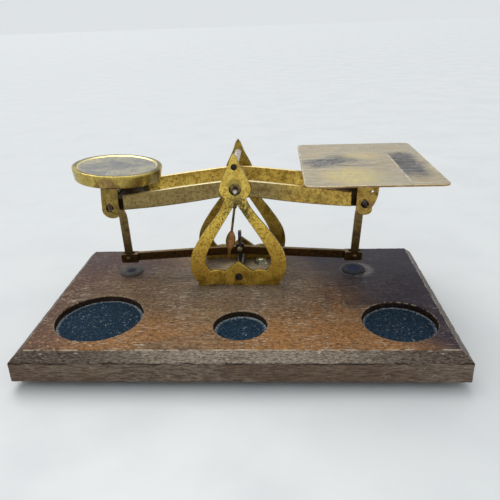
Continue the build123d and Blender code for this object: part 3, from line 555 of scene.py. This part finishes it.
def wood():
    """Varnished mahogany: worn and speckled in front, grey in the middle, purple-dark at the back right."""
    p = Paint("plinth_wood")
    grain = p.noise(2.2, 8.0, 0.7, p.stretch((0.10, 1.0, 1.0), (0, 0, 1.5)), 0.4)
    fine = p.noise(0.6, 5.0, 0.7, p.stretch((0.14, 1.0, 1.0), (0, 0, -1.0)))
    broad = p.noise(30.0, 5.0, 0.6, p.stretch((0.6, 1.0, 1.0)))
    body = p.mix(p.band(grain, 0.36, 0.64), rgb(96, 72, 50), rgb(140, 112, 78))
    orange = p.times(p.band(p.xyz[1], -14 * MM, -42 * MM), p.band(broad, 0.34, 0.58))
    body = p.mix(p.times(orange, 0.75), body, rgb(160, 108, 52))
    red = p.times(p.band(p.xyz[0], -60 * MM, -90 * MM), 0.8)
    body = p.mix(red, body, rgb(80, 52, 44))
    rear_red = p.times(p.band(p.xyz[1], 6 * MM, 34 * MM), p.band(p.xyz[0], -24 * MM, -60 * MM))
    body = p.mix(p.times(rear_red, 0.85), body, rgb(68, 50, 52))
    grey = p.times(p.spot(-2, 14, 24.0, 52.0, 1.2), p.band(broad, 0.30, 0.52))
    body = p.mix(p.times(grey, 0.7), body, rgb(124, 116, 104))
    plum = p.band(p.plus(p.plus(p.xyz[0], p.times(p.xyz[1], 0.62)), p.times(broad, 0.04)),
                  56 * MM, 88 * MM)
    body = p.mix(p.times(plum, 0.97), body, rgb(16, 8, 38))
    patchy = p.band(p.noise(9.0, 5.0, 0.65, p.stretch((1.6, 0.5, 1))), 0.46, 0.60)
    amber = p.times(p.spot(46, -22, 4.0, 22.0, 0.7), patchy)
    body = p.mix(p.times(amber, 0.6), body, rgb(160, 104, 48))
    mid_plum = p.times(p.spot(50, 8, 8.0, 34.0), p.band(broad, 0.38, 0.58))
    body = p.mix(p.times(mid_plum, 0.75), body, rgb(58, 38, 40))

    # speckle, pores and scratches, quieter where the wood is plum; painted light, a paler patch, under the
    # stand
    quiet = p.band(plum, 0.0, 0.8, 1.0, 0.3)
    dark = p.band(p.noise(1.1, 6.0, 0.8, p.stretch((0.5, 1.0, 1.0), (0, 0, -12), (0.3, 0, 0))), 0.47, 0.60)
    body = p.mix(p.times(dark, quiet, 0.75), body, rgb(64, 42, 30))
    body = p.mix(p.times(p.band(fine, 0.50, 0.66), 0.55), body, rgb(56, 38, 30))
    flecks = p.band(p.noise(0.9, 5.0, 0.75, p.stretch((0.6, 1.0, 1.0), (0, 0, 14))), 0.54, 0.64)
    worn = p.times(flecks, p.band(p.xyz[1], 40 * MM, -24 * MM, 0.25, 1.0), quiet)
    body = p.mix(p.times(worn, 0.8), body, rgb(190, 156, 120))
    pores = p.band(p.noise(0.5, 2.0, 0.5, p.stretch((0.22, 1.0, 1.0))), 0.60, 0.68)
    body = p.mix(p.times(pores, 0.7), body, rgb(40, 26, 20))
    scratched = None
    for turn, ratio in ((35, 9), (-48, 10), (80, 8), (5, 14)):
        marks = p.streaks(0.6, ratio, turn, 0.655, 0.69)
        scratched = marks if scratched is None else p.calc("MAXIMUM", scratched, marks)
    clear = p.times(p.band(p.noise(16.0, 3.0), 0.40, 0.60), quiet)
    scratched = p.times(scratched, clear, p.band(p.xyz[1], 26 * MM, -6 * MM, 0.35, 1.0))
    body = p.mix(p.times(scratched, 0.9), body, rgb(222, 206, 184))
    stand = (centre("front_stand_plate") + centre("rear_stand_plate")) / 2
    # painted light: the wood between the stand plates is made paler
    painted_light_under_stand = p.spot(stand.x / MM, stand.y / MM, 10.0, 19.0, 1.3)
    body = p.mix(p.times(painted_light_under_stand, p.band(grain, 0.34, 0.6), 0.8), body, rgb(176, 158, 124))

    # the bevel and the sides, with a groove where they meet, its line darkened with painted shade, and a
    # rubbed upper arris
    border = p.calc("MAXIMUM", p.band(p.size_of(p.xyz[0]), HALF_X - 7 * MM, HALF_X - 6.5 * MM),
                    p.band(p.size_of(p.xyz[1]), HALF_Y - 7 * MM, HALF_Y - 6.5 * MM))
    skirt = p.noise(0.6, 6.0, 0.72, p.stretch((0.14, 0.14, 1.0)))
    scuff = p.noise(0.8, 5.0, 0.75, p.stretch((0.4, 0.4, 1.0), (0, 24, 0)))
    face = p.mix(p.band(skirt, 0.40, 0.62), rgb(84, 70, 60), rgb(138, 120, 102))
    face = p.mix(p.band(scuff, 0.54, 0.66, 0.0, 0.6), face, rgb(158, 142, 122))
    face = p.mix(p.band(p.noise(24.0), 0.42, 0.62, 0.0, 0.5), face, rgb(88, 64, 50))
    below = p.times(border, p.band(p.xyz[2], TOP - 0.35 * MM, TOP - 0.75 * MM))
    slope = p.times(below, p.band(p.xyz[2], TOP - CHAMFER - 0.2 * MM, TOP - CHAMFER + 0.3 * MM))
    middle = p.band(p.gap(p.xyz[0], 6 * MM), 24 * MM, 84 * MM, 1.0, 0.0)
    lines = p.noise(0.30, 4.0, 0.7, p.stretch((0.16, 0.16, 1.0), (0, 3, 0)))
    bevel = p.mix(p.band(lines, 0.38, 0.60), rgb(98, 84, 74), rgb(156, 143, 126))
    bevel = p.mix(p.band(scuff, 0.56, 0.66, 0.0, 0.8), bevel, rgb(190, 178, 158))
    dark_bevel = p.mix(p.band(lines, 0.40, 0.60), rgb(56, 45, 40), rgb(108, 94, 82))
    bevel = p.mix(p.outside(middle), bevel, dark_bevel)
    nick = p.times(slope, p.streaks(0.6, 6, 12, 0.69, 0.73), 0.7)
    body = p.mix(below, body, p.mix(nick, p.mix(slope, face, bevel), rgb(206, 194, 170)))
    drift = p.times(p.noise(5.0, 4.0, 0.6), 1.6 * MM)
    gap = p.gap(p.xyz[2], p.plus(drift, TOP - CHAMFER - 0.85 * MM))
    groove_and_shade = p.times(below, p.band(gap, 0.12 * MM, 0.45 * MM, 1.0, 0.0))
    # painted shade: the groove's line is darkened
    body = p.mix(p.times(groove_and_shade, p.band(p.noise(9.0, 3.0), 0.36, 0.56), 0.85), body, rgb(36, 26, 22))
    rim_line = p.band(p.gap(p.xyz[2], TOP - 0.42 * MM), 0.05 * MM, 0.28 * MM, 1.0, 0.0)
    arris = p.times(rim_line, border, p.band(p.noise(3.4, 5.0, 0.7, p.stretch((0.4, 0.4, 1))), 0.46, 0.56))
    body = p.mix(p.times(arris, 0.7), body, rgb(196, 182, 160))

    # a pale ring and a wall darkened with painted shade at each well, and marks round the buffer pads
    for well in WELLS:
        x, y, radius = disc_mm(well)
        at_rim = p.band(p.xyz[2], TOP - 0.9 * MM, TOP - 0.3 * MM)
        ring = p.times(p.spot(x, y, radius + 0.1, radius + 0.55), at_rim)
        worn_ring = p.band(p.noise(1.8, 5.0, 0.7), 0.44, 0.56)
        body = p.mix(p.times(ring, worn_ring, 0.75), body, rgb(178, 158, 132))
        below_rim = p.band(p.xyz[2], TOP - 0.35 * MM, TOP - 0.8 * MM)
        wall = p.times(p.spot(x, y, radius + 0.25, radius + 0.6), below_rim)
        # painted shade: the well's wall below the rim is darkened nearly to black
        painted_well_shade = p.mix(p.band(p.noise(1.2, 4.0, 0.7), 0.5, 0.66), rgb(26, 19, 14), rgb(70, 54, 40))
        body = p.mix(p.times(wall, 0.93), body, painted_well_shade)
    pad_x, pad_y, _ = disc_mm("right_buffer_pad")
    halo = p.times(p.spot(pad_x + 2, pad_y, 7.0, 10.5), p.band(p.noise(2.5, 5.0, 0.7), 0.36, 0.52))
    body = p.mix(p.times(halo, 0.5), body, rgb(150, 142, 134))
    pad_x, pad_y, _ = disc_mm("left_buffer_pad")
    blue = p.times(p.spot(pad_x + 4, pad_y + 1, 6.0, 14.0), p.band(p.noise(5.0, 4.0, 0.6), 0.36, 0.6))
    body = p.mix(p.times(blue, 0.4), body, rgb(70, 66, 84))

    rough = p.band(broad, 0.35, 0.65, 0.40, 0.55)
    rough = p.plus(rough, p.times(plum, -0.12))
    rough = p.plus(rough, p.times(worn, 0.2))
    rough = p.plus(rough, p.times(dark, 0.1))
    height = p.plus(p.times(fine, 0.5), p.plus(p.times(grain, 0.5), p.times(worn, -0.4)))
    height = p.minus(height, p.times(scratched, 0.6))
    height = p.minus(height, p.times(groove_and_shade, 1.2))
    height = p.minus(height, p.times(pores, 0.5))
    return p.finish(body, rough, 0.0, p.bump(height, 0.18), Specular_IOR_Level=0.14)


def felt(name, deep, pale, dust, rim_at=None, middle_at=None, sparkle=0.95):
    """Woollen felt with nap and dust specks as strong as sparkle. rim_at is (x, y, radius) of a dusty rim and
    middle_at (x, y, radius, colour) of a rubbed middle, both in millimetres."""
    p = Paint(name)
    nap = p.noise(0.55, 6.0, 0.8)
    tuft = p.noise(2.2, 5.0, 0.7)
    colour = p.mix(p.band(nap, 0.42, 0.64), deep, pale)
    colour = p.mix(p.band(tuft, 0.48, 0.66, 0.0, 0.6), colour, pale)
    specks = p.times(p.band(p.noise(1.3, 4.0, 0.7), 0.62, 0.66),
                     p.band(p.noise(7.0, 3.0), 0.36, 0.54, 0.3, 1.0))
    colour = p.mix(p.times(specks, sparkle), colour, dust)
    if rim_at is not None:
        x, y, radius = rim_at
        ring = p.outside(p.spot(x, y, radius - 2.2, radius - 0.6))
        colour = p.mix(p.times(ring, p.band(p.noise(1.2, 5.0, 0.7), 0.40, 0.58), 0.75), colour, dust)
    if middle_at is not None:
        x, y, radius, shade = middle_at
        colour = p.mix(p.times(p.spot(x, y, radius - 0.9, radius + 0.9), 0.85), colour, shade)
    height = p.plus(nap, p.times(tuft, 0.6))
    return p.finish(colour, 0.92, 0.0, p.bump(height, 0.3), Sheen_Weight=0.04, Sheen_Roughness=0.5,
                    Specular_IOR_Level=0.1)


# ---- pieces ----
def piece(name, mesh, body, slot, material, *stands_for):
    """A new object of this mesh that rides on a body; the slot argument is not used."""
    obj = bpy.data.objects.new(name, mesh)
    bpy.context.scene.collection.objects.link(obj)
    dress(obj, material)
    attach(obj, body)
    if stands_for:
        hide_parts(*stands_for)
    return obj


def evaluated(obj):
    """The object's mesh with its modifiers applied."""
    graph = bpy.context.evaluated_depsgraph_get()
    return bpy.data.meshes.new_from_object(obj.evaluated_get(graph))


def run_modifier(mesh, kind, **settings):
    """A copy of the mesh after one modifier."""
    helper = bpy.data.objects.new("helper", mesh)
    bpy.context.scene.collection.objects.link(helper)
    modifier = helper.modifiers.new("m", kind)
    for key, value in settings.items():
        setattr(modifier, key, value)
    result = evaluated(helper)
    bpy.data.objects.remove(helper)
    return result


def coords(mesh):
    out = np.empty(len(mesh.vertices) * 3)
    mesh.vertices.foreach_get("co", out)
    return out.reshape(-1, 3)


def put_coords(mesh, points):
    mesh.vertices.foreach_set("co", points.astype(np.float32).ravel())
    mesh.update()


def smooth(mesh):
    mesh.polygons.foreach_set("use_smooth", [True] * len(mesh.polygons))
    mesh.update()


def closed_mesh(shape, name):
    """The bmesh as a mesh, its faces turned outward."""
    bmesh.ops.recalc_face_normals(shape, faces=shape.faces)
    mesh = bpy.data.meshes.new(name)
    shape.to_mesh(mesh)
    shape.free()
    return mesh


def near(reach, *offsets):
    """1 where the offsets are 0, falling away over about reach millimetres."""
    return np.exp(-sum(offset ** 2 for offset in offsets) / (reach * MM) ** 2)


def worn_board():
    """The board with its arrises rubbed round, chipped corners and a dented chamfer."""
    voxel, share_kept = 0.62 * MM, 0.3
    least_wear, border = 0.02, 6 * MM
    mesh = run_modifier(nodes["base_board"].data.copy(), "REMESH", mode="VOXEL", voxel_size=voxel)
    points = coords(mesh)
    ax, ay, z = np.abs(points[:, 0]), np.abs(points[:, 1]), points[:, 2]
    inset = np.minimum(HALF_X - ax, HALF_Y - ay)
    upper = near(0.9, inset - 5 * MM, z - TOP)
    lower = near(1.0, inset, z - TOP + CHAMFER)
    foot = near(1.3, inset, z - UNDERSIDE)
    corner = near(3.0, HALF_X - ax, HALF_Y - ay)
    for i, point in enumerate(points):
        wear = upper[i] * 0.5 + lower[i] + foot[i] * 0.8 + corner[i] * 0.7
        if wear < least_wear:
            continue
        v = Vector(point)
        coarse = max(0.0, noise.noise(v * 160) + 0.15)
        chip = max(0.0, noise.noise(v * 520 + Vector((7, 3, 1))) - 0.12)
        depth = wear * (0.26 * coarse + 0.6 * chip) * MM
        inward = Vector((-math.copysign(1, v.x) if HALF_X - ax[i] < border else 0.0,
                         -math.copysign(1, v.y) if HALF_Y - ay[i] < border else 0.0,
                         -0.6 if z[i] > UNDERSIDE + 4 * MM else 0.6))
        points[i] += np.array(inward.normalized()) * depth
    put_coords(mesh, points)
    mesh = run_modifier(mesh, "DECIMATE", ratio=share_kept)
    # the remesh leaves points a hair outside the CAD box
    shy = 0.001 * MM
    put_coords(mesh, np.clip(coords(mesh), np.array(board_low) + shy, np.array(board_high) - shy))
    smooth(mesh)
    return piece("plinth_board", mesh, "root", "plinth_wood", wood(), "base_board")


def felt_disc(name, node, seed, material, curl, dish=0.0, nap=0.12):
    """A felt disc with an uneven nap, curled up at its rim or dished in the middle, in millimetres."""
    x, y, full_radius, bottom_z, top_z = disc(node)
    radius = full_radius - 0.12 * MM
    thick = top_z - bottom_z
    # shares of the radius where the rim's wobble, curl and rounding begin, and where the dish ends
    wobble_from, curl_from, round_from, dish_to = 0.9, 0.82, 0.955, 0.62
    rings, around = max(14, int(radius / (0.45 * MM))), 120
    shape = bmesh.new()
    offset = Vector((seed * 3.7, seed * 1.3, seed))
    rows = []
    for k in range(rings + 1):
        share = k / rings
        row = []
        for s in range(around):
            angle = 2 * math.pi * s / around
            out = Vector((math.cos(angle), math.sin(angle), 0))
            wobble = 0.012 * noise.noise(out * 2 + offset) if share > wobble_from else 0
            r = radius * share * (1 + wobble)
            px, py = x + r * math.cos(angle), y + r * math.sin(angle)
            grain = noise.noise(Vector((px, py, 0)) * 900 + offset) * nap * MM
            wave = noise.noise(Vector((px, py, 0)) * 160 + offset) * nap * MM
            rise = curl * MM * max(0.0, (share - curl_from) / (1 - curl_from)) ** 2
            fall = dish * MM * max(0.0, 1 - (share / dish_to) ** 2)
            edge = thick * 0.35 * max(0.0, (share - round_from) / (1 - round_from)) ** 2
            row.append(shape.verts.new((px, py, bottom_z + thick * 0.9 + grain + wave + rise - fall - edge)))
            if k == 0:
                break
        rows.append(row)
    bottom = [shape.verts.new((above.co.x, above.co.y, bottom_z + 0.02 * MM)) for above in rows[-1]]
    for s in range(around):
        t = (s + 1) % around
        shape.faces.new((rows[0][0], rows[1][s], rows[1][t]))
        for k in range(1, rings):
            shape.faces.new((rows[k][s], rows[k + 1][s], rows[k + 1][t], rows[k][t]))
        shape.faces.new((rows[-1][s], bottom[s], bottom[t], rows[-1][t]))
    shape.faces.new(list(reversed(bottom)))
    mesh = closed_mesh(shape, name)
    smooth(mesh)
    return piece(name, mesh, "root", "well_felt", material, node)


def lint(name, node, seed, count, material):
    """Loose curled fibres lying on a felt, each a thin closed tube."""
    rng = random.Random(seed)
    x, y, full_radius, _, top_z = disc(node)
    radius = full_radius * 0.9
    shape = bmesh.new()
    sides, steps = 4, 5
    up = Vector((0, 0, 1))
    for _ in range(count):
        r = radius * math.sqrt(rng.random())
        a = rng.uniform(0, 2 * math.pi)
        at = Vector((x + r * math.cos(a), y + r * math.sin(a), top_z - 0.06 * MM))
        heading = rng.uniform(0, 2 * math.pi)
        bend = rng.uniform(-1.6, 1.6)
        length = rng.uniform(0.5, 1.9) * MM
        thin = rng.uniform(0.02, 0.045) * MM
        lift = rng.uniform(0.02, 0.28) * MM
        rows = []
        for k in range(steps):
            share = k / (steps - 1)
            turn = heading + bend * share
            at = at + Vector((math.cos(turn), math.sin(turn), 0)) * length / steps
            arch = Vector((0, 0, lift * math.sin(math.pi * share)))
            across = Vector((-math.sin(turn), math.cos(turn), 0))
            row = []
            for s in range(sides):
                q = 2 * math.pi * s / sides
                row.append(shape.verts.new(at + arch + (across * math.cos(q) + up * math.sin(q)) * thin))
            rows.append(row)
        for one, two in zip(rows, rows[1:]):
            for s in range(sides):
                t = (s + 1) % sides
                shape.faces.new((one[s], one[t], two[t], two[s]))
        shape.faces.new(list(reversed(rows[0])))
        shape.faces.new(rows[-1])
    return piece(name, closed_mesh(shape, name), "root", "well_felt", material)


worn_board()
DUST = rgb(176, 184, 184)
# fibres on a well of this radius
LINT_COUNT = 420
LINT_RADIUS = 0.021
for index, well in enumerate(WELLS):
    wool = felt(well + "_wool", rgb(8, 26, 42), rgb(28, 58, 78), DUST, disc_mm(well))
    felt_disc(well.replace("_felt", "_lining"), well, index + 1, wool, 0.7)
    count = int(LINT_COUNT * (disc(well)[2] / LINT_RADIUS) ** 2)
    fibre = felt(well + "_fibre", rgb(80, 92, 108), rgb(150, 160, 166), rgb(206, 208, 200))
    lint(well.replace("_felt", "_lint"), well, index + 11, count, fibre)
# each buffer pad's two tones, and the tone and radius of its rubbed middle
PADS = (("left_buffer_pad", rgb(74, 72, 70), rgb(104, 102, 98), rgb(30, 28, 52), 2.6),
        ("right_buffer_pad", rgb(44, 46, 50), rgb(72, 76, 78), rgb(36, 44, 76), 3.6))
for index, (pad, deep, pale, core, inner) in enumerate(PADS):
    pad_x, pad_y, _ = disc_mm(pad)
    wool = felt(pad + "_wool", deep, pale, rgb(150, 148, 140), None, (pad_x, pad_y, inner, core), 0.3)
    felt_disc(pad + "_dented", pad, index + 5, wool, 0.0, 0.45, 0.08)
dress(nodes["base_felt"], felt("base_baize", rgb(26, 44, 34), rgb(44, 66, 50), rgb(110, 116, 100)))


# angle and width in degrees and depth in millimetres of each knock in the pan's rim
KNOCKS = ((-24, 3.5, 0.32), (-97, 2.4, 0.16), (163, 3.0, 0.2), (60, 2.0, 0.18))


def lathed_pan():
    """The weight pan: dished floor, bead, rolled rim with knocks, tapered wall and a hollow underside."""
    rim, foot = 23.1, 22.0
    # radius and height from the rim's top, in millimetres, from the floor's middle over the rim to the hollow
    outline = [(0.0, -0.56), (6.0, -0.57), (12.0, -0.58), (17.0, -0.58), (19.3, -0.57), (19.75, -0.50),
               (20.05, -0.34), (20.25, -0.14), (20.5, -0.04), (21.0, -0.01), (21.6, 0.0), (22.2, -0.02),
               (22.6, -0.14), (22.87, -0.36), (22.98, -0.68), (rim - 0.16, -1.1), (rim - 0.36, -2.4),
               (rim - 0.66, -4.2), (foot + 0.12, -5.7), (foot + 0.02, -6.2), (foot - 0.14, -6.42),
               (foot - 0.4, -6.5), (20.2, -6.5), (19.6, -6.42), (19.4, -6.1), (19.4, -2.6), (19.1, -2.2),
               (12.0, -2.13), (0.0, -2.13)]
    around = 220
    turn = Matrix.Translation(PAN_AT) @ Matrix.Rotation(math.radians(PAN_TILT), 4, "Y")
    shape = bmesh.new()
    rows = []
    for radius, below in outline:
        on_rim = radius > 20
        edge = max(0.0, 1 - abs(below + 0.5) / 1.6) if on_rim else 0.0
        row = []
        for s in range(around if radius > 0 else 1):
            angle = 2 * math.pi * s / around
            out = Vector((math.cos(angle), math.sin(angle), 0))
            knock = 0.0
            for at, wide, deep in KNOCKS:
                away = (math.degrees(angle) - at + 180) % 360 - 180
                knock += deep * math.exp(-(away / wide) ** 2)
            ripple = 0.05 * noise.noise(out * 3 + Vector((0, 0, below * 0.3)))
            r = radius - edge * knock - (max(0.0, ripple) if on_rim else 0)
            z = below + PAN_HALF / MM - edge * knock * 0.5
            row.append(shape.verts.new(turn @ (Vector((out.x * r, out.y * r, z)) * MM)))
        rows.append(row)
    for one, two in zip(rows, rows[1:]):
        for s in range(around):
            t = (s + 1) % around
            if len(one) == 1:
                shape.faces.new((one[0], two[s], two[t]))
            elif len(two) == 1:
                shape.faces.new((one[s], one[t], two[0]))
            else:
                shape.faces.new((one[s], two[s], two[t], one[t]))
    mesh = closed_mesh(shape, "pan_turned")
    smooth(mesh)
    return piece("pan_turned", mesh, "weight_carrier", "pan_brass", FINISHES["pan_brass"], "weight_pan")


lathed_pan()


# ---- floor, light and camera ----
FLOOR_SIZE = 60.0
FLOOR_PALE = (0.645, 0.66, 0.665, 1)
FLOOR_GREY = (0.605, 0.62, 0.63, 1)
FLOOR_SMUDGE = (0.45, 0.47, 0.5, 1)
SKY = (0.735, 0.765, 0.785, 1)
SUN_STRENGTH = 1.5
SUN_SPREAD = 50
SUN_TONE = (1.0, 0.985, 0.96)
SUN_HEADING = Vector((0.25, -0.5, -1.0))


def floor():
    """Pale painted table top with faint smudges."""
    p = Paint("floor_paint")
    cloud = p.noise(60.0, 4.0, 0.55)
    colour = p.mix(p.band(cloud, 0.35, 0.7), FLOOR_PALE, FLOOR_GREY)
    mark = p.band(p.noise(5.0, 5.0, 0.7, p.stretch((0.5, 1, 1), (0, 0, 30))), 0.66, 0.76)
    colour = p.mix(p.times(mark, 0.12), colour, FLOOR_SMUDGE)
    material = p.finish(colour, p.band(cloud, 0.3, 0.7, 0.32, 0.5), 0.0, p.bump(p.noise(3.0), 0.05))
    bpy.ops.mesh.primitive_plane_add(size=FLOOR_SIZE)
    plane = bpy.context.object
    plane.name = "floor"
    dress(plane, material)


def camera(place, yaw, pitch, roll, lens):
    """The camera, from its heading left of +Y, its tilt down and its roll, in degrees."""
    yaw, pitch, roll = [math.radians(a) for a in (yaw, pitch, roll)]
    ahead = Vector((-math.sin(yaw) * math.cos(pitch), math.cos(yaw) * math.cos(pitch), -math.sin(pitch)))
    right = Vector((math.cos(yaw), math.sin(yaw), 0))
    down = ahead.cross(right)
    across = right * math.cos(roll) + down * math.sin(roll)
    upward = -(down * math.cos(roll) - right * math.sin(roll))
    data = bpy.data.cameras.new("camera")
    data.sensor_width = 36.0
    data.lens = lens
    data.clip_start = 0.01
    data.clip_end = 20.0
    obj = bpy.data.objects.new("camera", data)
    bpy.context.scene.collection.objects.link(obj)
    turn = Matrix((across, upward, -ahead)).transposed()
    obj.matrix_world = Matrix.Translation(place) @ turn.to_4x4()
    bpy.context.scene.camera = obj


floor()
world = bpy.data.worlds.new("studio")
bpy.context.scene.world = world
world.use_nodes = True
world.node_tree.nodes["Background"].inputs["Color"].default_value = SKY
world.node_tree.nodes["Background"].inputs["Strength"].default_value = 1.0
sun = bpy.data.objects.new("soft_sun", bpy.data.lights.new("soft_sun", "SUN"))
bpy.context.scene.collection.objects.link(sun)
sun.data.energy = SUN_STRENGTH
sun.data.angle = math.radians(SUN_SPREAD)
sun.data.color = SUN_TONE
sun.rotation_euler = SUN_HEADING.to_track_quat("-Z", "Y").to_euler()
camera(place=(0.01867, -0.23589, 0.14568), yaw=3.41, pitch=23.98, roll=2.05, lens=36.914)
bpy.context.scene.view_settings.view_transform = "Standard"
